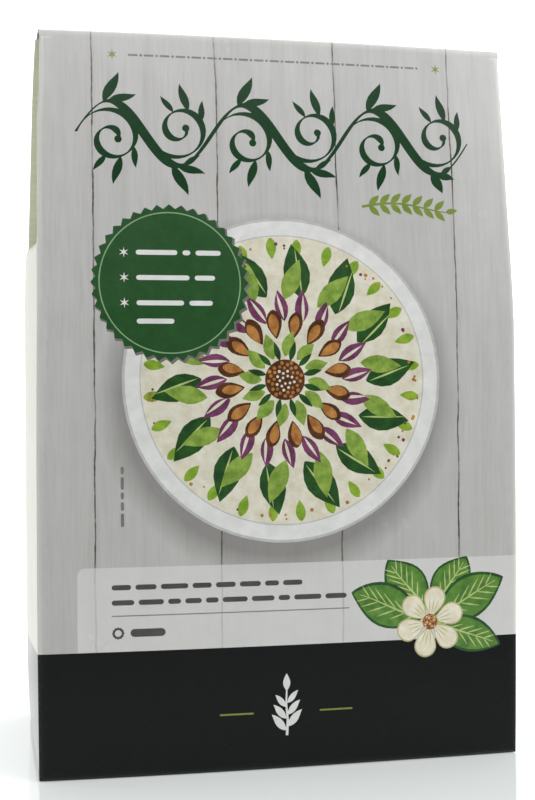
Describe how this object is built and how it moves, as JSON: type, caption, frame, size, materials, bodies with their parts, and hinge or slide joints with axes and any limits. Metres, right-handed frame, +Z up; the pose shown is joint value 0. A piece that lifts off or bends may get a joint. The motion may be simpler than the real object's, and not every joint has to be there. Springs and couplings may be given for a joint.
{
  "type": "folding carton",
  "caption": "Glued paperboard folding carton with a flat base, side gussets and a ridge top, holding a sealed food pouch.",
  "frame": {"origin": "middle of the base, on the surface that the carton stands on", "axes": "+Z up to the ridge, front panel faces -Y, +X to the right seen from the front"},
  "size_m": [0.1288, 0.0782, 0.189],
  "materials": {
    "printed_board": "satin",
    "pouch_film": "satin"
  },
  "bodies": {
    "root": {"carton": "printed_board", "food_pouch": "pouch_film"}
  },
  "joints": []
}
